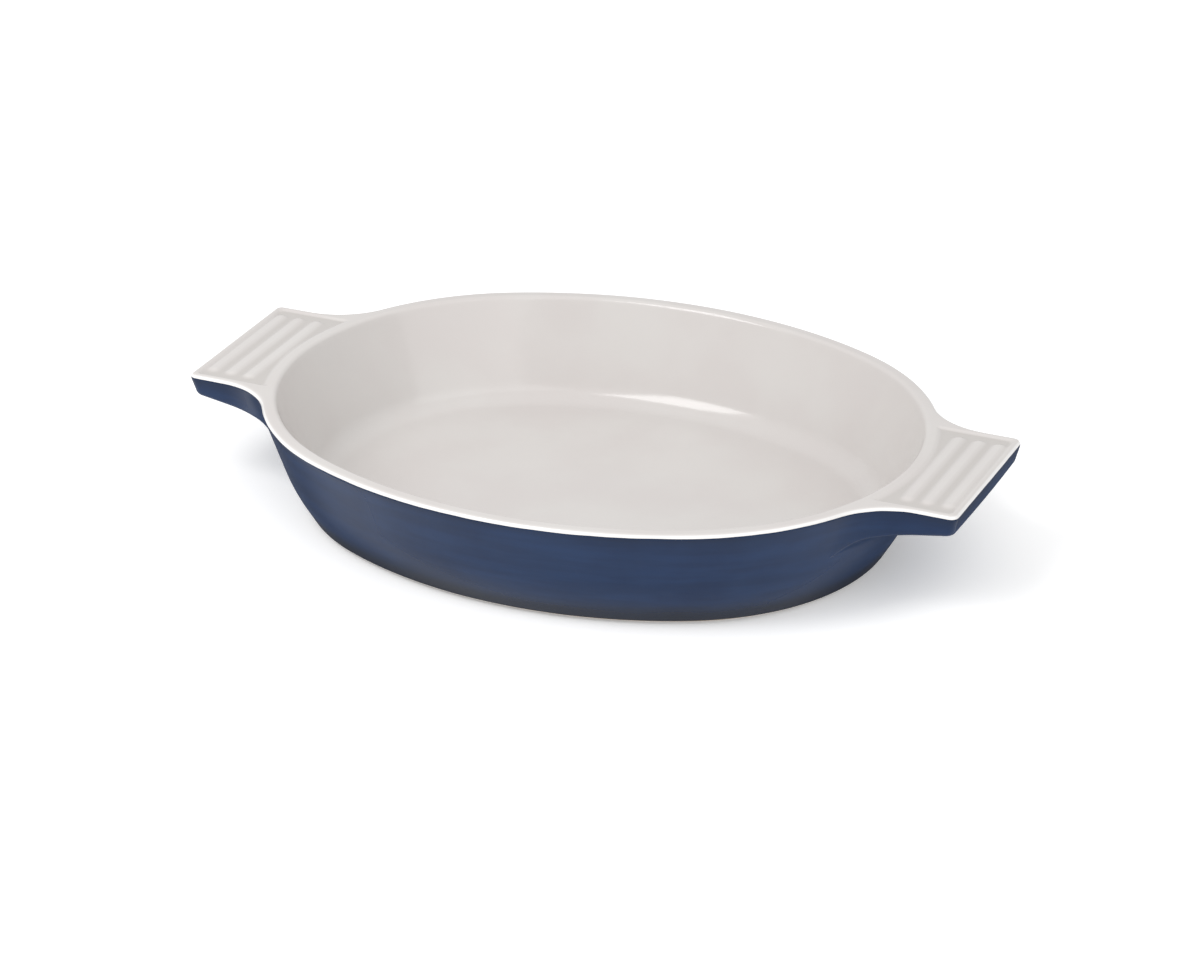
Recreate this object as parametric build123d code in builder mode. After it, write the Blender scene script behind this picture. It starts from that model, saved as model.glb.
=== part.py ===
from build123d import *
from math import atan, atan2, cos, degrees, hypot, radians, sin, sqrt, tan
import os

# Oval gratin dish of glazed stoneware, with a flat ribbed lug at each end.
# Millimetres. The origin is the middle of the face that the dish stands on,
# +X runs along the length, from lug to lug, and +Z is up.

# The oval, measured over the rounded rim
bowl_length = 302.4
bowl_width = 243.8
bowl_height = 51.6
end_radius_share = 0.927

# Outer wall: straight and steep below the rim, then turned in towards the foot
wall_lean = 18.8
base_inset = 22.4
knee_height = 17.0
knee_round = 120.0
base_round = 2.6

# Rim
rim_width = 6.2
rim_outer_round = 2.0
rim_inner_round = 2.4

# Cavity
cavity_lean = 22.0
floor_height = 7.0
floor_round = 12.0

# Bare standing ring under the base
foot_height = 1.6
foot_inset = 23.4
foot_width = 6.0
foot_round = 0.5

# Glaze coats, and how far the cream one laps below the lug's deck
glaze = 0.5
cream_lap = 0.1

# Lugs
lug_reach = 28.8
lug_width = 85.2
lug_corner = 4.6
lug_blend = 18.0
lug_tip_thickness = 8.0
lug_root_thickness = 11.6
lug_edge_round = 2.4
lug_under_round = 8.0
lug_bury = 16.0
lug_seat = 0.05

# Sunk deck and ribs on top of each lug
deck_drop = 1.0
deck_border = 3.2
deck_corner = 2.5
deck_edge_round = 0.9
rib_count = 3
rib_width = 5.6
rib_length = 71.0
rib_pitch = 9.0
rib_first = 7.0

# Width of the turned part of the bowl, and the length that a cutter runs past what it cuts
turned_width = 60.0
overrun = 4.0

# The four arcs of the oval: two ends and two flatter sides, tangent where they meet
half_length = bowl_length / 2
half_width = bowl_width / 2
end_radius = end_radius_share * half_width
end_shift = half_length - end_radius
side_radius = (end_shift**2 + half_width**2 - end_radius**2) / (2 * (half_width - end_radius))
side_shift = side_radius - half_width
meet_angle = degrees(atan2(side_shift, end_shift))
end_sweep = 2 * meet_angle
side_sweep = 180 - end_sweep
arcs = (
    (end_shift, 0, end_radius, -meet_angle, end_sweep),
    (0, -side_shift, side_radius, meet_angle, side_sweep),
    (-end_shift, 0, end_radius, 180 - meet_angle, end_sweep),
    (0, side_shift, side_radius, 180 + meet_angle, side_sweep),
)

# Slopes of the walls, as inset gained for each unit of depth, and the sharp rim
# line that the rounding brings back to the true outline
wall_slope = tan(radians(wall_lean))
cavity_slope = tan(radians(cavity_lean))
rim_gain = rim_outer_round * (wall_slope + 1 / cos(radians(wall_lean)) - 1)
knee_inset = (bowl_height - knee_height) * wall_slope - rim_gain
lower_slope = (base_inset - knee_inset) / knee_height
split_height = bowl_height - deck_drop - glaze - cream_lap

# Lug sizes that follow from the bowl
lug_tip = half_length + lug_reach
lug_tip_distance = lug_tip - end_shift
under_slope = (lug_root_thickness - lug_tip_thickness) / lug_reach
under_turn = atan(1 / wall_slope) + atan(under_slope)
under_run = (lug_under_round + glaze) / tan((radians(180) - under_turn) / 2)
lug_depth = lug_root_thickness + under_run
rib_radius = (rib_width**2 / 4 + deck_drop**2) / (2 * deck_drop)


def radial_plane(x, y, angle):
    """Upright plane through an arc's centre, its X axis outward at the angle."""
    outward = (cos(radians(angle)), sin(radians(angle)), 0)
    across = (sin(radians(angle)), -cos(radians(angle)), 0)
    return Plane(origin=(x, y, 0), x_dir=outward, z_dir=across)


def turned_sectors(corners, rounds):
    """A section, as (inset from the rim line, height), turned about each of the oval's arcs."""
    with BuildPart() as form:
        for x, y, radius, start, sweep in arcs:
            section = [(radius - inset, height) for inset, height in corners]
            with BuildSketch(radial_plane(x, y, start)):
                with BuildLine():
                    FilletPolyline(section, radius=rounds, close=True)
                make_face()
            revolve(axis=Axis((x, y, 0), (0, 0, 1)), revolution_arc=sweep)
    return form.part


def oval_plate(inset, low, high):
    """Flat plate on the oval drawn in by the inset, between two heights."""
    with BuildPart() as plate:
        with BuildSketch(Plane.XY.offset(low)):
            with BuildLine():
                for x, y, radius, start, sweep in arcs:
                    CenterArc((x, y), radius - inset, start, sweep)
            make_face()
        extrude(amount=high - low)
    return plate.part


def filled_bowl(skin):
    """Outside form of the bowl without its cavity, drawn in all round by the skin."""
    low = foot_height + skin
    high = bowl_height - skin
    corners = (
        (turned_width, low),
        (base_inset - low * lower_slope + skin, low),
        (knee_inset + skin, knee_height),
        (skin + skin * wall_slope - rim_gain, high),
        (turned_width, high),
    )
    rounds = (0, base_round - skin, knee_round - skin, rim_outer_round - skin, 0)
    with BuildPart() as form:
        add(turned_sectors(corners, rounds))
        add(oval_plate(turned_width, low, high))
    return form.part


def hollow(skin):
    """The cavity, let out all round by the skin, with the rounded inner edge of the rim."""
    low = floor_height - skin
    high = bowl_height - skin
    above = bowl_height + overrun
    corners = (
        (turned_width, low),
        (rim_width - skin + (bowl_height - low) * cavity_slope, low),
        (rim_width - skin + skin * cavity_slope, high),
        (rim_width / 2, high),
        (rim_width / 2, above),
        (turned_width, above),
    )
    rounds = (0, floor_round + skin, rim_inner_round - skin, 0, 0, 0)
    with BuildPart() as form:
        add(turned_sectors(corners, rounds))
        add(oval_plate(turned_width, low, above))
    return form.part


def lug_plan(skin):
    """Sharp-cornered plan of the right lug's top, its sides blended in to the oval."""
    inset = skin + skin * wall_slope - rim_gain
    tip = lug_tip - inset
    side = lug_width / 2 - inset
    blend = lug_blend + inset
    blend_y = lug_width / 2 + lug_blend
    blend_reach = end_radius + lug_blend - lug_seat
    blend_x = end_shift + sqrt(blend_reach**2 - blend_y**2)
    swing = atan2(blend_y, blend_x - end_shift)
    root_x = blend_x - blend * cos(swing)
    root_y = blend_y - blend * sin(swing)
    buried_x = root_x - lug_bury * cos(swing)
    buried_y = root_y - lug_bury * sin(swing)
    with BuildSketch(Plane.XY.offset(bowl_height - skin)) as plan:
        with BuildLine():
            Line((buried_x, -buried_y), (buried_x, buried_y))
            Line((tip, -side), (tip, side))
            for way in (-1, 1):
                Line((buried_x, way * buried_y), (root_x, way * root_y))
                start = way * (180 + degrees(swing))
                CenterArc((blend_x, way * blend_y), blend, start, way * (90 - degrees(swing)))
                Line((blend_x, way * side), (tip, way * side))
        make_face()
    return plan.sketch


def under_line(distance, skin):
    """Height of the lug's underside at a distance from the centre of the oval's end."""
    return bowl_height - lug_tip_thickness - (lug_tip_distance - distance) * under_slope + skin


def under_space(skin):
    """The air under the lug, rounded in to the wall and turned about the oval's end."""
    reach = hypot(lug_tip_distance, lug_width / 2) + overrun
    low = bowl_height - lug_depth - overrun
    near = end_radius + rim_gain - skin - lug_seat
    root_drop = (bowl_height - under_line(near, skin)) / (1 - under_slope * wall_slope)
    corners = (
        (reach, under_line(reach, skin)),
        (near - root_drop * wall_slope, bowl_height - root_drop),
        (near - (bowl_height - low) * wall_slope, low),
        (reach, low),
    )
    with BuildPart() as space:
        with BuildSketch(radial_plane(end_shift, 0, -meet_angle)):
            with BuildLine():
                FilletPolyline(corners, radius=(0, lug_under_round + skin, 0, 0), close=True)
            make_face()
        revolve(axis=Axis((end_shift, 0, 0), (0, 0, 1)), revolution_arc=end_sweep)
    return space.part


def ribs(skin):
    """Round-backed ribs across the lug's deck, with rounded ends, their feet in the deck."""
    crest = bowl_height - skin
    straight = rib_length - rib_width
    with BuildPart() as bars:
        for place in range(rib_count):
            x = lug_tip - rib_first - place * rib_pitch
            with Locations((x, 0, crest - rib_radius)):
                Cylinder(rib_radius, straight, rotation=(90, 0, 0))
            with Locations((x, -straight / 2, crest - rib_radius), (x, straight / 2, crest - rib_radius)):
                Sphere(rib_radius)
        split(bisect_by=Plane.XY.offset(crest - 2 * deck_drop), keep=Keep.TOP)
    return bars.part


def solid_lug(skin):
    """Outside form of the right lug, drawn in all round by the skin and run into the bowl."""
    high = bowl_height - skin
    deck_inset = deck_border - skin
    deck_tip = lug_tip - deck_inset
    deck_width = lug_width - 2 * deck_inset
    deck_length = lug_reach + rim_width + deck_corner
    with BuildPart() as form:
        extrude(lug_plan(skin), amount=-lug_depth, taper=wall_lean)
        tip_face = form.faces().sort_by(Axis.X)[-1]
        fillet(tip_face.edges().filter_by(Axis.Y, reverse=True), radius=lug_corner - skin)
        top_line = form.faces().sort_by(Axis.Z)[-1].edges()
        outer_line = top_line.filter_by(lambda edge: edge.center().X > half_length)
        fillet(outer_line, radius=rim_outer_round - skin)
        add(under_space(skin), mode=Mode.SUBTRACT)
        underside = form.faces().filter_by(GeomType.CONE).sort_by(Axis.X)[-1]
        fillet(underside.edges().filter_by(GeomType.CIRCLE, reverse=True), radius=lug_edge_round - skin)
        with BuildSketch(Plane.XY.offset(high - deck_drop)):
            with Locations((deck_tip - deck_length / 2, 0)):
                RectangleRounded(deck_length, deck_width, deck_corner)
        extrude(amount=deck_drop + overrun, mode=Mode.SUBTRACT)
        deck_edge = form.faces().sort_by(Axis.Z)[-1].inner_wires()[0].edges()
        fillet(deck_edge, radius=deck_edge_round - skin)
        add(ribs(skin))
    return form.part


def both_lugs(skin):
    """The right lug's form and its mirror image."""
    lug = solid_lug(skin)
    with BuildPart() as pair:
        add(lug)
        mirror(lug, about=Plane.YZ)
    return pair.part


outer_bowl = filled_bowl(0)
core_bowl = filled_bowl(glaze)
air_hollow = hollow(0)
core_hollow = hollow(glaze)
outer_lugs = both_lugs(0)
core_lugs = both_lugs(glaze)
base_top = foot_height + glaze

# Fired clay body of the bowl: wall and floor in one piece, under its glaze
with BuildPart() as stoneware_bowl:
    add(core_bowl)
    add(core_hollow, mode=Mode.SUBTRACT)
stoneware_bowl.part.label = "stoneware_bowl"

# Clay of the lugs, joined to the outside of the wall
with BuildPart() as right_lug:
    add(core_lugs)
    split(bisect_by=Plane.YZ, keep=Keep.TOP)
    add(core_bowl, mode=Mode.SUBTRACT)
right_lug.part.label = "right_lug"

with BuildPart() as left_lug:
    mirror(right_lug.part, about=Plane.YZ)
left_lug.part.label = "left_lug"

# Ring that the dish stands on, wiped bare of glaze
with BuildPart() as foot_ring:
    add(oval_plate(foot_inset, 0, base_top))
    add(oval_plate(foot_inset + foot_width, 0, base_top), mode=Mode.SUBTRACT)
    fillet(foot_ring.edges().group_by(Axis.Z)[0], radius=foot_round)
foot_ring.part.label = "foot_ring"

# Blue coat outside, from the foot up to just under the rim, round the lugs too
with BuildPart() as exterior_glaze:
    add(outer_bowl)
    add(outer_lugs)
    add(core_bowl, mode=Mode.SUBTRACT)
    add(core_lugs, mode=Mode.SUBTRACT)
    split(bisect_by=Plane.XY.offset(split_height), keep=Keep.BOTTOM)
    add(oval_plate(foot_inset, 0, base_top), mode=Mode.SUBTRACT)
exterior_glaze.part.label = "exterior_glaze"

# Cream coat over the cavity, the rim and the tops of the lugs
with BuildPart() as interior_glaze:
    add(outer_bowl)
    add(outer_lugs)
    add(core_bowl, mode=Mode.SUBTRACT)
    add(core_lugs, mode=Mode.SUBTRACT)
    split(bisect_by=Plane.XY.offset(split_height), keep=Keep.TOP)
    add(core_hollow)
    add(air_hollow, mode=Mode.SUBTRACT)
interior_glaze.part.label = "interior_glaze"

# Blue panel under the base, inside the foot ring
with BuildPart() as base_glaze:
    add(oval_plate(foot_inset + foot_width, foot_height, base_top))
base_glaze.part.label = "base_glaze"

pieces = (stoneware_bowl, right_lug, left_lug, foot_ring, exterior_glaze, interior_glaze, base_glaze)
os.makedirs("parts", exist_ok=True)
for piece in pieces:
    export_step(piece.part, f"parts/{piece.part.label}.step")
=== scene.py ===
from math import asin, atan, atan2, cos, hypot, pi, radians, sin, sqrt, tan

import bpy
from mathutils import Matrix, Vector, noise


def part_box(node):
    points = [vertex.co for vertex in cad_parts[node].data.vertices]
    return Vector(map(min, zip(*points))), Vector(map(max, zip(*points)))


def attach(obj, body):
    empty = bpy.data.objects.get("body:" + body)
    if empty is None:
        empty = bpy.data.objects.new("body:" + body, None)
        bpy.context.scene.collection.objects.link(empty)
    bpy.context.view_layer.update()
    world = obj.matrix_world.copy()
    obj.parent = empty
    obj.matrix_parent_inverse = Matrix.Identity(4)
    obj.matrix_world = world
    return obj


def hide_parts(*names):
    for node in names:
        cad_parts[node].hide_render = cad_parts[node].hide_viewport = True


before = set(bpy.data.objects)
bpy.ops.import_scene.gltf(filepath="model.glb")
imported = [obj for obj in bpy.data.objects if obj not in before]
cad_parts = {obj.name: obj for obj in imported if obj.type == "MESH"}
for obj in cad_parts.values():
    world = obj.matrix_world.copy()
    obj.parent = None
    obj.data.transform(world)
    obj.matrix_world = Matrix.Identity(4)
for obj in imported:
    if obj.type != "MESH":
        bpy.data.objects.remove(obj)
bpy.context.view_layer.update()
mm = 0.001

# Clay body
# Bowl, lugs and standing ring are one piece of buff stoneware, pressed in a mould and fired.
# All of it but the ring is under glaze; the ring is wiped bare so that it doesn't stick in the kiln.
clay_tones = ((0.3, (0.42, 0.33, 0.24)), (0.55, (0.52, 0.43, 0.33)), (0.8, (0.60, 0.51, 0.41)))
clay_specks = ((0.70, (1.0, 1.0, 1.0)), (0.76, (0.30, 0.20, 0.13)))
clay_roughness = 0.82
clay_clouds_per_metre = 60.0
clay_specks_per_metre = 1300.0
clay_grains_per_metre = 2600.0
clay_grain_depth = 0.12 * mm


def new_finish(name, roughness):
    """A material of the given roughness, with its node tree and its shader."""
    finish = bpy.data.materials.new(name)
    finish.use_nodes = True
    shader = finish.node_tree.nodes["Principled BSDF"]
    shader.inputs["Roughness"].default_value = roughness
    return finish, finish.node_tree, shader


def clouds(tree, per_metre, detail=3.0, squeeze=(1.0, 1.0, 1.0)):
    """Soft noise through the piece, so many clouds to the metre, squeezed along the axes."""
    place = tree.nodes.new("ShaderNodeTexCoord")
    squeezed = tree.nodes.new("ShaderNodeMapping")
    squeezed.inputs["Scale"].default_value = squeeze
    cloud = tree.nodes.new("ShaderNodeTexNoise")
    cloud.inputs["Scale"].default_value = per_metre
    cloud.inputs["Detail"].default_value = detail
    tree.links.new(place.outputs["Object"], squeezed.inputs["Vector"])
    tree.links.new(squeezed.outputs["Vector"], cloud.inputs["Vector"])
    return cloud.outputs["Fac"]


def toned(tree, source, stops):
    """Colours laid out along a value from 0 to 1."""
    ramp = tree.nodes.new("ShaderNodeValToRGB")
    ramp.color_ramp.interpolation = "EASE"
    for count, (share, colour) in enumerate(stops):
        stop = ramp.color_ramp.elements[count] if count < 2 else ramp.color_ramp.elements.new(share)
        stop.position = share
        stop.color = (*colour, 1.0)
    tree.links.new(source, ramp.inputs["Fac"])
    return ramp.outputs["Color"]


def mixed(tree, share, first, second, blend="MIX"):
    """One colour laid over another by a share, which is a number or comes from a node."""
    mix = tree.nodes.new("ShaderNodeMix")
    mix.data_type = "RGBA"
    mix.blend_type = blend
    if isinstance(share, float):
        mix.inputs["Factor"].default_value = share
    else:
        tree.links.new(share, mix.inputs["Factor"])
    for socket, colour in (("A", first), ("B", second)):
        wanted = [place for place in mix.inputs if place.name == socket and place.type == "RGBA"][0]
        if isinstance(colour, tuple):
            wanted.default_value = (*colour, 1.0)
        else:
            tree.links.new(colour, wanted)
    return [place for place in mix.outputs if place.type == "RGBA"][0]


def relief(tree, shader, height, depth, strength=1.0):
    """Fine unevenness of the surface, with its depth in metres."""
    bump = tree.nodes.new("ShaderNodeBump")
    bump.inputs["Strength"].default_value = strength
    bump.inputs["Distance"].default_value = depth
    tree.links.new(height, bump.inputs["Height"])
    tree.links.new(bump.outputs["Normal"], shader.inputs["Normal"])


def fired_clay():
    """Bare stoneware: matte, sandy, clouded by the kiln and specked with iron."""
    finish, tree, shader = new_finish("fired_clay", clay_roughness)
    body = toned(tree, clouds(tree, clay_clouds_per_metre), clay_tones)
    specks = toned(tree, clouds(tree, clay_specks_per_metre, detail=1.0), clay_specks)
    colour = mixed(tree, 1.0, body, specks, blend="MULTIPLY")
    tree.links.new(colour, shader.inputs["Base Color"])
    relief(tree, shader, clouds(tree, clay_grains_per_metre), clay_grain_depth)
    return finish


clay = fired_clay()
for node in ("stoneware_bowl", "right_lug", "left_lug", "foot_ring"):
    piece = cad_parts[node]
    piece.data.materials.clear()
    piece.data.materials.append(clay)

# Cream coat
# Opaque cream glaze, poured into the cavity and over the rim and the ribbed tops of the lugs.
# It melts in the kiln, rounds every edge, runs thin on the ribs and pools between them. Its colour is
# whiter on the outer edge and the rib crests, partly a painted highlight, and darker between the ribs,
# partly painted shade.
rim_width = 6.2
rim_outer_round = 2.0
rim_inner_round = 2.4
crest_inset = 3.3
cavity_lean = radians(22)
floor_height = 7.0
floor_round = 12.0
end_radius_share = 0.927
lug_width = 85.2
lug_corner = 3.4
lug_blend = 33.0

# The lug's deck is sunk behind a plain border, and carries the ribs
deck_drop = 1.0
deck_border = 3.2
deck_corner = 2.5
deck_edge_slope = 0.8
deck_slope_start, deck_slope_end = -2.1, 0.6
rib_count = 3
rib_first = 7.0
rib_pitch = 9.0
rib_length = 71.0
rib_crest = 0.9
rib_foot = 4.2

# Where the cream ends, as an angle above the level, how far that wanders, and in what lengths
lap_rise = radians(11.5)
lap_wander = radians(5)
lap_swell = 24
lap_ripple = 7

# The fired coat: its thickness, how far and in what lengths it is out of true, and by
# what share of its size it stays inside the clay's length and width
coat_thickness = 0.42
warp = 0.11
warp_length = 45.0
length_drawn_in = 1 / 1200
width_drawn_in = 1 / 900
sharp_edge = radians(60)

# How closely the points of the coats stand, and the steps from side to side of the floor
tip_spacing = 0.9
corner_spacing = 0.8
side_spacing = 1.2
blend_spacing = 1.0
rim_spacing = 3.0
wall_spacing = 4.0
deck_spacing = 0.8
floor_steps = 6

cream_tones = ((0.35, (0.578, 0.547, 0.532)), (0.65, (0.598, 0.575, 0.558)))
# Whiter on the outer edge and the rib crests: thin glaze, partly a painted highlight
cream_thin_and_highlight = (0.74, 0.73, 0.72)
# Darker between the ribs: pooled glaze, partly painted shade
cream_pooled_and_shade = (0.50, 0.475, 0.455)
cream_roughness = 0.15
# Where the whiter outer edge, partly a painted highlight, starts and ends, in from the crest and down
# from the top
thin_highlight_edge_start, thin_highlight_edge_end = 0.1, 0.7
cream_clouds_per_metre = 18.0
cream_ripples_per_metre = 350.0
ripple_depth = 0.05 * mm
ripple_strength = 0.3

# The oval: two end arcs and two flatter side arcs that meet tangent
lug_tip, half_width, top = (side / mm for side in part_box("interior_glaze")[1])
bowl_end, bowl_side = (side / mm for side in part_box("stoneware_bowl")[1][:2])
half_length = bowl_end + half_width - bowl_side
end_radius = end_radius_share * half_width
end_shift = half_length - end_radius
side_radius = (end_shift**2 + half_width**2 - end_radius**2) / (2 * (half_width - end_radius))
side_shift = side_radius - half_width
meet_angle = atan2(side_shift, end_shift)

# The lug's sides are blended in to the oval
blend_y = lug_width / 2 + lug_blend
blend_x = end_shift + sqrt((end_radius + lug_blend) ** 2 - blend_y**2)
blend_turn = atan2(blend_y, blend_x - end_shift)
neck_x = blend_x - lug_blend * cos(blend_turn)


def oval_point(facing, inset):
    """Point on the oval, drawn in by the inset, in the quarter where x and y are positive."""
    if facing < meet_angle:
        return end_shift + (end_radius - inset) * cos(facing), (end_radius - inset) * sin(facing)
    return (side_radius - inset) * cos(facing), (side_radius - inset) * sin(facing) - side_shift


def line_places(start, end, facing, spacing):
    """Places along a straight stretch, without its end: x, y and the way the outline faces."""
    count = round(hypot(end[0] - start[0], end[1] - start[1]) / spacing)
    shares = [step / count for step in range(count)]
    return [(start[0] + (end[0] - start[0]) * share, start[1] + (end[1] - start[1]) * share, facing)
            for share in shares]


def arc_places(centre, radius, facing, last_facing, spacing):
    """Places along an arc, without its end; a negative radius is an arc that curves inward."""
    count = round(abs(radius * (last_facing - facing)) / spacing)
    turns = [facing + (last_facing - facing) * step / count for step in range(count)]
    return [(centre[0] + radius * cos(turn), centre[1] + radius * sin(turn), turn) for turn in turns]


def oval_quarter(facing, spacing):
    """Places on a quarter of the oval, from the given facing round to the middle of a long side."""
    places = arc_places((end_shift, 0), end_radius, facing, meet_angle, spacing)
    places += arc_places((0, -side_shift), side_radius, meet_angle, pi / 2, spacing)
    return places + [(0.0, half_width, pi / 2)]


def outline_quarter():
    """Places on a quarter of the outline: the lug's tip, corner, side and blend, then the oval."""
    corner_x = lug_tip - lug_corner
    corner_y = lug_width / 2 - lug_corner
    places = line_places((lug_tip, 0), (lug_tip, corner_y), 0.0, tip_spacing)
    places += arc_places((corner_x, corner_y), lug_corner, 0.0, pi / 2, corner_spacing)
    places += line_places((corner_x, lug_width / 2), (blend_x, lug_width / 2), pi / 2, side_spacing)
    places += arc_places((blend_x, blend_y), -lug_blend, pi / 2, blend_turn, blend_spacing)
    return places + oval_quarter(blend_turn, rim_spacing)


def all_round(quarter):
    """The quarter's places and their mirror images once round, each with its ways along x and y."""
    loop = []
    for x_way, y_way in ((1, 1), (-1, 1), (-1, -1), (1, -1)):
        ordered = quarter if x_way == y_way else quarter[::-1]
        loop += [(place, x_way, y_way) for place in ordered[:-1]]
    return loop


def bearing(direction, x_way, y_way):
    """A quarter's direction as an angle that grows all the way round."""
    turned = direction if x_way == y_way else -direction
    return turned + (pi if x_way < 0 else 0 if y_way > 0 else 2 * pi)


def from_end(x, y):
    """Distance and direction from the centre of the oval's end arc."""
    return hypot(x - end_shift, y), atan2(y, x - end_shift)


def inset_along(place, inset):
    """A place moved in from the outline."""
    x, y, facing = place
    return x - inset * cos(facing), y - inset * sin(facing)


def rim_round(place, turn, sunk=0.0):
    """Point on the rounded outer edge of the rim or lug, by how far it has turned from the top."""
    x, y = inset_along(place, rim_outer_round - (rim_outer_round - sunk) * sin(turn))
    return x, y, top - rim_outer_round + (rim_outer_round - sunk) * cos(turn)


def lap_turn(x, y):
    """Where on that edge the cream ends and the blue begins: it wanders a little round the dish."""
    swell = noise.noise(Vector((x, y, 0)) / lap_swell)
    ripple = noise.noise(Vector((x, y, 90)) / lap_ripple)
    return pi / 2 - lap_rise + lap_wander * (swell + 0.5 * ripple)


def arc_between(start, corner, end, steps):
    """Points of the round arc that touches two lines at start and end, with their corner given."""
    start, corner, end = Vector(start), Vector(corner), Vector(end)
    weight = sin((start - corner).angle(end - corner) / 2)
    points = []
    for step in range(steps + 1):
        share = step / steps
        parts = ((1 - share) ** 2, 2 * weight * share * (1 - share), share**2)
        points.append((parts[0] * start + parts[1] * corner + parts[2] * end) / sum(parts))
    return points


def straight(start, end, steps):
    """Evenly spaced points from start to end."""
    return [Vector(start).lerp(Vector(end), step / steps) for step in range(steps + 1)]


def rounded_profile(start, corner, end, radius, steps):
    """A section of two straight runs with a round between, and the steps of run, round and run."""
    start, corner, end = Vector(start), Vector(corner), Vector(end)
    first_run, round_run, last_run = steps
    reach = radius / tan((start - corner).angle(end - corner) / 2)
    touch = corner + (start - corner).normalized() * reach
    leave = corner + (end - corner).normalized() * reach
    points = straight(start, touch, first_run) + arc_between(touch, corner, leave, round_run)[1:]
    return points + straight(leave, end, last_run)[1:]


def eased(value, start, end):
    """Smooth rise from 0 at start to 1 at end."""
    share = min(max((value - start) / (end - start), 0.0), 1.0)
    return share * share * (3 - 2 * share)


def rib_rise(x, y):
    """How far the nearest rib rises at a place, from 0 on the deck to 1 on its crest."""
    beyond = max(abs(y) - (rib_length / 2 - rib_foot), 0.0)
    nearest = round((lug_tip - rib_first - abs(x)) / rib_pitch)
    rib_x = lug_tip - rib_first - min(max(nearest, 0), rib_count - 1) * rib_pitch
    return 1 - eased(hypot(abs(x) - rib_x, beyond), rib_crest, rib_foot)


def deck_share(x, y):
    """How far the top is sunk at a place, from 0 on rim and border to 1 on the lug's deck."""
    from_tip = lug_tip - deck_border - abs(x)
    from_side = lug_width / 2 - deck_border - abs(y)
    inside = min(from_tip, from_side)
    if max(from_tip, from_side) < deck_corner:
        inside = deck_corner - hypot(deck_corner - from_tip, deck_corner - from_side)
    past_rim = from_end(abs(x), abs(y))[0] - end_radius
    behind_border = eased(inside, -deck_edge_slope, deck_edge_slope)
    return behind_border * eased(past_rim, deck_slope_start, deck_slope_end)


def top_height(x, y):
    """Height of the rim's and the lug's top at a place."""
    return top - deck_drop * deck_share(x, y) * (1 - rib_rise(x, y))


def settled(point):
    """A point as fired: drawn in a hair and never quite true, by the same amount in every coat."""
    spot = Vector(point) / warp_length
    x = point[0] * (1 - length_drawn_in) + warp * noise.noise(spot)
    y = point[1] * (1 - width_drawn_in) + warp * noise.noise(spot + Vector((7, 0, 0)))
    z = point[2] - warp * (1 + noise.noise(spot * 1.3 + Vector((0, 7, 0)))) / 2
    return Vector((x, y, z)) * mm


class Coat:
    """Points and faces of one coat of glaze, while it is built up from lines of points."""

    def __init__(self):
        self.points = []
        self.faces = []

    def lay(self, points, x_way=1, y_way=1):
        """Adds a line of points and gives their numbers."""
        first = len(self.points)
        self.points += [(x_way * x, y_way * y, z) for x, y, z in points]
        return list(range(first, len(self.points)))

    def stitch(self, one, two, along_one=None, along_two=None):
        """Faces between two lines of points, matched by how far along their lines they are."""
        along_one = along_one or [step / max(len(one) - 1, 1) for step in range(len(one))]
        along_two = along_two or [step / max(len(two) - 1, 1) for step in range(len(two))]
        a = b = 0
        while a + 1 < len(one) or b + 1 < len(two):
            if a + 1 == len(one):
                gap, step = 1.0, 0.0
            elif b + 1 == len(two):
                gap, step = -1.0, 0.0
            else:
                gap = along_one[a + 1] - along_two[b + 1]
                step = min(along_one[a + 1] - along_one[a], along_two[b + 1] - along_two[b])
            if abs(gap) <= step / 2:
                self.faces.append((one[a], one[a + 1], two[b + 1], two[b]))
                a, b = a + 1, b + 1
            elif gap < 0:
                self.faces.append((one[a], one[a + 1], two[b]))
                a += 1
            else:
                self.faces.append((one[a], two[b + 1], two[b]))
                b += 1

    def stitch_round(self, columns):
        """Faces between neighbouring columns, run by run, once round the dish."""
        for column, following in zip(columns, columns[1:] + columns[:1]):
            for run, next_run in zip(column, following):
                self.stitch(run, next_run)

    def stitch_rings(self, one, two, bearings_one, bearings_two):
        """Faces between two closed rings whose points are spaced differently."""
        self.stitch(one + one[:1], two + two[:1],
                    bearings_one + [bearings_one[0] + 2 * pi],
                    bearings_two + [bearings_two[0] + 2 * pi])

    def made(self, name, finish, thinness_and_painted_light):
        """The coat as an object: a skin of even thickness, with how thin its glaze has run, a value that
        also sets its painted highlight and painted shade.
        """
        mesh = bpy.data.meshes.new(name)
        mesh.from_pydata([settled(point) for point in self.points], [], self.faces)
        # Per-point value of glaze thinness, which also drives painted highlight and painted shade
        mesh.attributes.new("thinness_and_painted_light", "FLOAT", "POINT")
        mesh.attributes["thinness_and_painted_light"].data.foreach_set("value", [thinness_and_painted_light(*point) for point in self.points])
        mesh.materials.append(finish)
        sheet = bpy.data.objects.new(name, mesh)
        bpy.context.scene.collection.objects.link(sheet)
        skin = sheet.modifiers.new("skin", "SOLIDIFY")
        skin.thickness = coat_thickness * mm
        skin.offset = -1
        drawn = sheet.evaluated_get(bpy.context.evaluated_depsgraph_get())
        solid = bpy.data.meshes.new_from_object(drawn)
        sheet.modifiers.clear()
        sheet.data = solid
        solid.shade_smooth()
        solid.set_sharp_from_angle(angle=sharp_edge)
        return sheet


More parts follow.
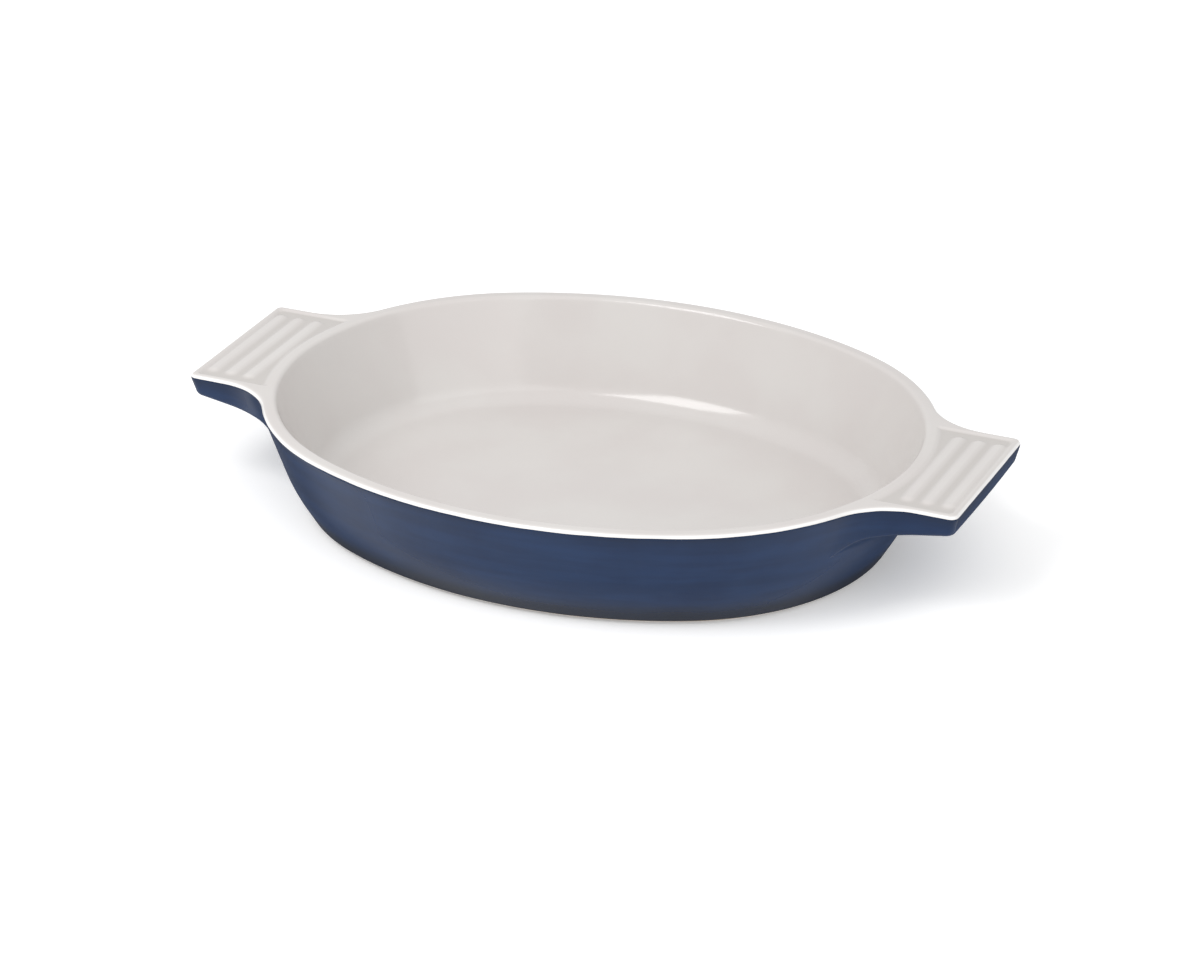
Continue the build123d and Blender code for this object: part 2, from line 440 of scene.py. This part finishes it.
def cream_coat():
    """The cream coat, from the middle of the floor over the rim and out to the edge of the lugs."""
    coat_of_cream = Coat()
    corner_inset = rim_width + (top - floor_height) * tan(cavity_lean)

    # The close columns of the rim and the wider ones below it meet in a band inside the wall
    joint_depth = 5.6
    joint_inset = rim_width + joint_depth * tan(cavity_lean)
    joint_band = 1
    floor_middle = 4
    over_rim = rounded_profile(
        (joint_inset, top - joint_depth), (rim_width, top), (crest_inset, top),
        rim_inner_round, (3, 7, 2))
    down_in = rounded_profile(
        (joint_inset + joint_band, top - joint_depth - joint_band / tan(cavity_lean)),
        (corner_inset, floor_height), (end_radius - floor_middle, floor_height),
        floor_round, (12, 9, 18))
    edge_steps = 7

    columns, bearings = [], []
    for place, x_way, y_way in all_round(outline_quarter()):
        x, y, facing = place
        direction = from_end(x, y)[1] if x > neck_x else facing
        start = oval_point(direction, crest_inset)
        edge = inset_along(place, rim_outer_round)
        count = max(2, round(hypot(edge[0] - start[0], edge[1] - start[1]) / deck_spacing))
        over_lug = [(spot.x, spot.y, top_height(spot.x, spot.y)) for spot in straight(start, edge, count)]
        lap = lap_turn(x_way * x, y_way * y)
        section = [(*oval_point(direction, inset), z) for inset, z in over_rim]
        over_edge = [rim_round(place, lap * step / edge_steps) for step in range(1, edge_steps + 1)]
        cavity = coat_of_cream.lay(section, x_way, y_way)
        deck = coat_of_cream.lay(over_lug[1:], x_way, y_way)
        outer = coat_of_cream.lay(over_edge, x_way, y_way)
        columns.append((cavity, cavity[-1:] + deck, deck[-1:] + outer))
        bearings.append(bearing(direction, x_way, y_way))
    coat_of_cream.stitch_round(columns)

    inner_columns, inner_bearings = [], []
    for (_, _, facing), x_way, y_way in all_round(oval_quarter(0.0, wall_spacing)):
        section = [(*oval_point(facing, inset), z) for inset, z in down_in]
        inner_columns.append((coat_of_cream.lay(section, x_way, y_way)[::-1],))
        inner_bearings.append(bearing(facing, x_way, y_way))
    coat_of_cream.stitch_round(inner_columns)
    coat_of_cream.stitch_rings([column[0][0] for column in columns],
                               [column[0][-1] for column in inner_columns], bearings, inner_bearings)

    ring = [column[0][0] for column in inner_columns]
    half = len(ring) // 2
    across = [[ring[0]]]
    for near, far in zip(ring[1:half], ring[:half:-1]):
        between = straight(coat_of_cream.points[near], coat_of_cream.points[far], floor_steps)[1:-1]
        across.append([near] + coat_of_cream.lay(between) + [far])
    across.append([ring[half]])
    for line, following in zip(across, across[1:]):
        if len(line) == 1:
            fan = zip(following, following[1:])
            coat_of_cream.faces += [(line[0], one, two) for one, two in fan]
        elif len(following) == 1:
            fan = zip(line[1:], line)
            coat_of_cream.faces += [(one, two, following[0]) for one, two in fan]
        else:
            coat_of_cream.stitch(following, line)
    return coat_of_cream


def oval_inset(x, y):
    """How far in from the oval a place lies; less than zero out on a lug."""
    distance, direction = from_end(abs(x), abs(y))
    if direction < meet_angle:
        return end_radius - distance
    return side_radius - hypot(x, abs(y) + side_shift)


def cream_thinness_and_light(x, y, z):
    """How thin the cream has run, which also sets its painted highlight and painted shade: 1 on the outer
    edge, 0.6 on a rib, 0.1 between ribs, else 0.5.
    """
    if oval_inset(x, y) > crest_inset + thin_highlight_edge_start:
        return 0.5
    on_deck = deck_share(x, y)
    over_edge = 0.5 * eased(top - z, thin_highlight_edge_start, thin_highlight_edge_end) * (1 - on_deck)
    return 0.5 + over_edge + on_deck * (0.5 * rib_rise(x, y) - 0.4)


def cream_glaze():
    """Opaque cream glass: clouded, whiter where it has run thin, partly a painted highlight, and warmer
    and darker where it has pooled, partly painted shade.
    """
    finish, tree, shader = new_finish("cream_glaze", cream_roughness)
    thinness_and_painted_light = tree.nodes.new("ShaderNodeAttribute")
    thinness_and_painted_light.attribute_name = "thinness_and_painted_light"
    body = toned(tree, clouds(tree, cream_clouds_per_metre), cream_tones)
    # Whiter towards the outer edge and the rib crests, partly a painted highlight
    thin_and_highlight_share = toned(tree, thinness_and_painted_light.outputs["Fac"], ((0.5, (0, 0, 0)), (1.0, (1, 1, 1))))
    colour = mixed(tree, thin_and_highlight_share, body, cream_thin_and_highlight)
    # Darker between the ribs, partly painted shade
    cream_pool_and_shade_share = toned(tree, thinness_and_painted_light.outputs["Fac"], ((0.0, (1, 1, 1)), (0.5, (0, 0, 0))))
    colour = mixed(tree, cream_pool_and_shade_share, colour, cream_pooled_and_shade)
    tree.links.new(colour, shader.inputs["Base Color"])
    ripples = clouds(tree, cream_ripples_per_metre, detail=1.0)
    relief(tree, shader, ripples, ripple_depth, ripple_strength)
    return finish


cream = cream_coat().made("cream_coat", cream_glaze(), cream_thinness_and_light)
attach(cream, "root")
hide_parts("interior_glaze")

# Blue coat
# Dark blue glaze over the outer wall and the edges and undersides of the lugs, down to the ring.
# The dish is dipped in it rim up, so that it dries in faint level streaks and gathers at the foot. Its
# colour darkens towards the foot, partly pooled glaze and partly painted shade, and in a band below the
# rim as painted shade.
wall_lean = radians(18.8)
lug_tip_thickness = 11.0
lug_root_thickness = 16.5
lug_lean = radians(13)
lug_under_round = 12.0
under_steps = 26

# How far a lug's lower edge is rounded in under it, at most and as a share of the room there,
# and the share of that reach that the round takes up
lug_edge_reach = 2.2
lug_edge_room = 0.75
lug_edge_share = 0.8

# The wall's knee, the round at its foot, and the standing ring under it
knee_height = 17.0
knee_round = 80.0
base_inset = 21.0
base_round = 2.6
foot_height = 1.6
foot_inset = 23.4

# How far the blue runs on under the edge of the cream, as an angle, and how deep it lies there
lap_under = radians(5)
lap_sunk = 0.1

blue_tones = ((0.35, (0.004, 0.017, 0.056)), (0.65, (0.007, 0.024, 0.072)))
blue_streaks = ((0.35, (0.90, 0.90, 0.90)), (0.65, (1.10, 1.10, 1.10)))
# Near black towards the foot: pooled glaze, partly painted shade
blue_pooled_and_shade = (0.006, 0.008, 0.014)
blue_gloss = ((0.45, (0.2, 0.2, 0.2)), (0.8, (0.8, 0.8, 0.8)))
blue_roughness = 0.2
blue_reflection = 0.22
blue_clouds_per_metre = 22.0
streaks_per_metre = 18.0
streak_squeeze = (1.0, 1.0, 9.0)
blue_ripples_per_metre = 300.0
# The band below the rim painted darker as painted shade, and the height below which the foot is painted
# darker, partly as painted shade
blue_shade_band_start, blue_shade_band_end = 6.0, 3.0
blue_pool_and_shade_height = 17.0


def lean_inset(lean, z):
    """How far a side that leans in from the rounded edge stands in from the outline at a height."""
    return (top - z) * tan(lean) - rim_outer_round * (1 / cos(lean) + tan(lean) - 1)


def straight_inset(z):
    """How far the straight part of the outer wall stands in from the outline at a height."""
    return lean_inset(wall_lean, z)


def side_lean(place):
    """How far the side leans at a place on the outline: less on a lug than on the wall."""
    x, _, facing = place
    blended = 0.0
    if x < blend_x:
        blended = min(max((pi / 2 - facing) / (pi / 2 - blend_turn), 0.0), 1.0)
    return lug_lean + (wall_lean - lug_lean) * blended


# The hollow that rounds a lug's underside in to the wall
flare = -straight_inset(top)
under_slope = (lug_root_thickness - lug_tip_thickness) / (lug_tip - half_length)
under_lean = atan(under_slope)
root_depth = (lug_root_thickness - under_slope * flare) / (1 - under_slope * tan(wall_lean))
wall_out = Vector((cos(wall_lean), -sin(wall_lean)))
under_out = Vector((sin(under_lean), -cos(under_lean)))
root = Vector((end_radius - straight_inset(top - root_depth), top - root_depth))
hollow = root + lug_under_round * (wall_out + under_out) / (1 + wall_out.dot(under_out))
wall_touch = hollow - lug_under_round * wall_out
under_touch = hollow - lug_under_round * under_out

# The knee, where the wall turns in towards the foot
knee_inset = straight_inset(knee_height)
lower_lean = atan((base_inset - knee_inset) / knee_height)
knee_reach = knee_round * tan((lower_lean - wall_lean) / 2)
knee_top = knee_height + knee_reach * cos(wall_lean)
knee_foot = knee_height - knee_reach * cos(lower_lean)
knee_centre_inset = straight_inset(knee_top) + knee_round * cos(wall_lean)
knee_centre_height = knee_top + knee_round * sin(wall_lean)


def wall_inset(z):
    """How far the outer wall stands in at a height, down to the foot of its knee."""
    if z > knee_top:
        return straight_inset(z)
    return knee_centre_inset - sqrt(knee_round**2 - (knee_centre_height - z) ** 2)


def underside(distance):
    """Height of a lug's underside, by distance from the centre of the oval's end arc."""
    if distance > under_touch.x:
        return top - lug_tip_thickness - (lug_tip - end_shift - distance) * under_slope
    return hollow.y + sqrt(lug_under_round**2 - (hollow.x - max(distance, wall_touch.x)) ** 2)


def lug_side(place, z):
    """Point on the side of a lug: it leans in, and its corner stays as round all the way down."""
    x, y, facing = place
    inset = lean_inset(side_lean(place), z)
    corner_x, corner_y = lug_tip - lug_corner, lug_width / 2 - lug_corner
    if x > corner_x:
        ways = (1.0, min(y / corner_y, 1.0))
    elif x > blend_x:
        ways = ((x - blend_x) / (corner_x - blend_x), 1.0)
    else:
        ways = (cos(facing), sin(facing))
    return Vector((x - ways[0] * inset, y - ways[1] * inset, z))


def lug_corner_height(place):
    """Height at which a lug's side meets its underside."""
    halvings = 30
    low, high = wall_touch.y, top - 0.7 * lug_tip_thickness
    for _ in range(halvings):
        middle = (low + high) / 2
        point = lug_side(place, middle)
        if middle > underside(from_end(point.x, point.y)[0]):
            high = middle
        else:
            low = middle
    return (low + high) / 2


def lug_edge(place, edge_height, steps):
    """A lug's side and rounded lower edge, and the spot on its underside that the edge leads to."""
    facing = place[2]
    corner = lug_side(place, lug_corner_height(place))
    room = from_end(corner.x, corner.y)[0] - wall_touch.x
    inward = min(lug_edge_reach, lug_edge_room * room)
    x, y = corner.x - inward * cos(facing), corner.y - inward * sin(facing)
    spot = Vector((x, y, underside(from_end(x, y)[0])))
    upper = lug_side(place, edge_height)
    reach = lug_edge_share * (spot - corner).length
    touch = corner + reach * (upper - corner).normalized()
    leave = corner + reach * (spot - corner).normalized()
    side_steps, round_steps = steps
    return straight(upper, touch, side_steps), arc_between(touch, corner, leave, round_steps), spot


def lug_under(spot, direction):
    """Points along a lug's underside, evenly spaced from a spot on it round in to the wall."""
    distance, start_direction = from_end(spot.x, spot.y)
    flat = max(distance - under_touch.x, 0.0) / cos(under_lean)
    first_turn = under_lean if flat else asin((hollow.x - distance) / lug_under_round)
    length = flat + lug_under_round * (pi / 2 - wall_lean - first_turn)
    points = []
    for step in range(under_steps + 1):
        along = length * step / under_steps
        away = distance - along * cos(under_lean)
        if along > flat:
            away = hollow.x - lug_under_round * sin(first_turn + (along - flat) / lug_under_round)
        share = (away - wall_touch.x) / (distance - wall_touch.x)
        bend = direction + (start_direction - direction) * share
        points.append(Vector((end_shift + away * cos(bend), away * sin(bend), underside(away))))
    return points


def blue_coat():
    """The blue coat, from its lap under the cream down the wall to the ring."""
    coat_of_blue = Coat()
    edge_steps, side_steps, round_steps, knee_steps = 4, 5, 6, 10

    # The close columns of rim and lugs and the wider ones below them meet in a band under the lugs
    band, joint = wall_touch.y - 1, wall_touch.y - 2
    knee_heights = [joint + (knee_foot - joint) * step / knee_steps for step in range(knee_steps)]
    wall_down = [(wall_inset(z), z) for z in knee_heights]
    wall_down += rounded_profile(
        (wall_inset(knee_foot), knee_foot), (base_inset - foot_height * tan(lower_lean), foot_height),
        (foot_inset, foot_height), base_round, (2, 7, 1))

    columns, bearings = [], []
    for place, x_way, y_way in all_round(outline_quarter()):
        x, y, facing = place
        direction = from_end(x, y)[1] if x > neck_x else facing
        edge_turn = pi / 2 + (side_lean(place) if x > neck_x else wall_lean)
        edge_height = top - rim_outer_round * (1 - cos(edge_turn))
        lap = lap_turn(x_way * x, y_way * y)
        covered = [rim_round(place, lap - lap_under, lap_sunk), rim_round(place, lap, lap_sunk)]
        edge_turns = [lap + (edge_turn - lap) * step / edge_steps for step in range(1, edge_steps + 1)]
        shown = [rim_round(place, turn) for turn in edge_turns]
        if x > neck_x:
            side, edge, spot = lug_edge(place, edge_height, (side_steps - 1, round_steps))
            under = edge[-1:] + lug_under(spot, direction)
        else:
            fall = (wall_touch.y - edge_height) / side_steps
            heights = [edge_height + fall * step for step in range(side_steps + 1)]
            side = [(*oval_point(facing, wall_inset(z)), z) for z in heights]
            edge = under = side[-1:]
        wall = [(*oval_point(direction, wall_inset(z)), z) for z in (wall_touch.y, band)]
        runs = [coat_of_blue.lay(covered + shown, x_way, y_way)]
        for run in (side, edge, under, wall):
            runs.append(runs[-1][-1:] + coat_of_blue.lay(run[1:], x_way, y_way))
        columns.append(runs)
        bearings.append(bearing(direction, x_way, y_way))
    coat_of_blue.stitch_round(columns)

    low_columns, low_bearings = [], []
    for (_, _, facing), x_way, y_way in all_round(oval_quarter(0.0, wall_spacing)):
        section = [(*oval_point(facing, inset), z) for inset, z in wall_down]
        low_columns.append((coat_of_blue.lay(section, x_way, y_way),))
        low_bearings.append(bearing(facing, x_way, y_way))
    coat_of_blue.stitch_round(low_columns)
    coat_of_blue.stitch_rings([column[0][0] for column in low_columns],
                              [column[-1][-1] for column in columns], low_bearings, bearings)
    return coat_of_blue


def blue_pooling_and_shade(x, y, z):
    """How light the blue is painted: 0.5 on the wall, 0.3 in painted shade along its upper edge, 0 at the
    foot from pooled glaze and painted shade.
    """
    # Painted shade in a band below the rim
    shade_below_edge = eased(z, top - blue_shade_band_start, top - blue_shade_band_end)
    # Darker towards the foot: pooled glaze, partly painted shade
    pool_and_shade_at_foot = eased(-z, -blue_pool_and_shade_height, -foot_height - 1)
    return 0.5 - 0.2 * shade_below_edge - 0.5 * pool_and_shade_at_foot


def blue_glaze(name):
    """Dark blue glass with level streaks, almost black at the foot where it gathers and with painted
    shade there, darker in painted shade below the rim, and dull at a low angle.
    """
    finish, tree, shader = new_finish(name, blue_roughness)
    shader.inputs["Specular IOR Level"].default_value = blue_reflection
    view = tree.nodes.new("ShaderNodeLayerWeight")
    tree.links.new(toned(tree, view.outputs["Facing"], blue_gloss), shader.inputs["Roughness"])
    thinness_and_painted_light = tree.nodes.new("ShaderNodeAttribute")
    thinness_and_painted_light.attribute_name = "thinness_and_painted_light"
    body = toned(tree, clouds(tree, blue_clouds_per_metre), blue_tones)
    level = clouds(tree, streaks_per_metre, detail=5.0, squeeze=streak_squeeze)
    colour = mixed(tree, 1.0, body, toned(tree, level, blue_streaks), blend="MULTIPLY")
    # Near black at the foot from pooled glaze and painted shade, darker in painted shade below the rim
    blue_pool_and_shade_share = toned(tree, thinness_and_painted_light.outputs["Fac"], ((0.0, (0.8, 0.8, 0.8)), (0.5, (0, 0, 0))))
    colour = mixed(tree, blue_pool_and_shade_share, colour, blue_pooled_and_shade)
    tree.links.new(colour, shader.inputs["Base Color"])
    ripples = clouds(tree, blue_ripples_per_metre, detail=1.0)
    relief(tree, shader, ripples, ripple_depth, ripple_strength)
    return finish


blue = blue_coat().made("blue_coat", blue_glaze("blue_glaze"), blue_pooling_and_shade)
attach(blue, "root")
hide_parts("exterior_glaze")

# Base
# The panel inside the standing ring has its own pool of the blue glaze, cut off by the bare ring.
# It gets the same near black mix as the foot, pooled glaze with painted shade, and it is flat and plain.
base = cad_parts["base_glaze"]
base.data.materials.clear()
base.data.materials.append(blue_glaze("blue_base"))

# Table and light
# The dish stands on a sheet of white paper in a bright studio, between two softboxes.
# The paper glows a little, as if lit from below, so that it is white right up to the dish.
half_sheet = 4000 * mm
paper_tone = (0.92, 0.92, 0.92, 1.0)
paper_roughness = 0.9
paper_glow = 0.24
studio_light = 0.75
white = (1.0, 1.0, 1.0, 1.0)

table_mesh = bpy.data.meshes.new("table")
ways = ((-1, -1), (1, -1), (1, 1), (-1, 1))
corners = [(x_way * half_sheet, y_way * half_sheet, 0) for x_way, y_way in ways]
table_mesh.from_pydata(corners, [], [(0, 1, 2, 3)])
table = bpy.data.objects.new("table", table_mesh)
bpy.context.scene.collection.objects.link(table)
paper, _, paper_shader = new_finish("white_paper", paper_roughness)
paper_shader.inputs["Base Color"].default_value = paper_tone
paper_shader.inputs["Emission Color"].default_value = white
paper_shader.inputs["Emission Strength"].default_value = paper_glow
table_mesh.materials.append(paper)


def softbox(name, turn, rise, distance, width, height, power):
    """A lit panel that faces the dish, placed by its angle from the front and its angle of rise."""
    panel = bpy.data.lights.new(name, "AREA")
    panel.shape = "RECTANGLE"
    panel.size = width * mm
    panel.size_y = height * mm
    panel.energy = power
    stand = bpy.data.objects.new(name, panel)
    away = Vector((sin(turn) * cos(rise), -cos(turn) * cos(rise), sin(rise)))
    stand.location = away * distance * mm
    stand.rotation_euler = (-away).to_track_quat("-Z", "Y").to_euler()
    bpy.context.scene.collection.objects.link(stand)


softbox("front_left_box", turn=radians(-33), rise=radians(48), distance=1300,
        width=520, height=800, power=8.0)
softbox("front_right_box", turn=radians(55), rise=radians(38), distance=1600,
        width=1800, height=1500, power=8.5)

surround = bpy.data.worlds.new("studio")
surround.use_nodes = True
sky = surround.node_tree.nodes["Background"]
sky.inputs["Color"].default_value = white
sky.inputs["Strength"].default_value = studio_light
bpy.context.scene.world = surround
bpy.context.scene.view_settings.view_transform = "Standard"

# Camera
# A long lens almost two metres away, which looks down on the dish from the front
# and a little from its right.
camera_turn = radians(23.885)
camera_rise = radians(25.462)
camera_distance = 1819 * mm
aim = Vector((0.78, 0, 15.73)) * mm
focal_length = 124.3
film_width = 36.0

lens = bpy.data.cameras.new("camera")
lens.lens = focal_length
lens.sensor_width = film_width
camera = bpy.data.objects.new("camera", lens)
level_reach = cos(camera_rise)
toward = Vector((sin(camera_turn) * level_reach, -cos(camera_turn) * level_reach, sin(camera_rise)))
camera.location = aim + toward * camera_distance
camera.rotation_euler = (-toward).to_track_quat("-Z", "Y").to_euler()
bpy.context.scene.collection.objects.link(camera)
bpy.context.scene.camera = camera
